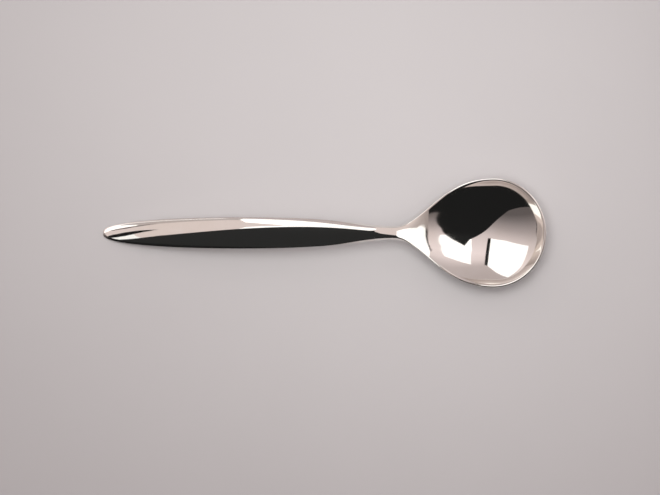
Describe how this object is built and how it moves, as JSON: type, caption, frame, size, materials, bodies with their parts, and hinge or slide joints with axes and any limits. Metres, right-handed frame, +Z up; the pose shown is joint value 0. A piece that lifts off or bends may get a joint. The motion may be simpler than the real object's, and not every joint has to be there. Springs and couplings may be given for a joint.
{
  "type": "sugar spoon",
  "caption": "Polished silver sugar spoon with a deep, nearly round bowl, a slim neck and a hollow handle that swells and then narrows to a blunt tip.",
  "frame": {"origin": "on the surface that the spoon lies on, under the middle of its length and width", "axes": "+X along the spoon from the handle's tip to the bowl, +Z up out of the open bowl"},
  "size_m": [0.1297, 0.0318, 0.0113],
  "materials": {
    "polished_silver": "mirror polish with fine hairline scratches from use",
    "silver_solder": "polished flush with the shells, slightly greyer than the silver",
    "handle_cement": "dull cast resin cement, hidden inside the handle"
  },
  "bodies": {
    "root": {"bowl": "polished_silver", "handle_top_shell": "polished_silver", "handle_bottom_shell": "polished_silver", "seam_solder": "silver_solder", "tang_cement": "handle_cement"}
  },
  "joints": []
}
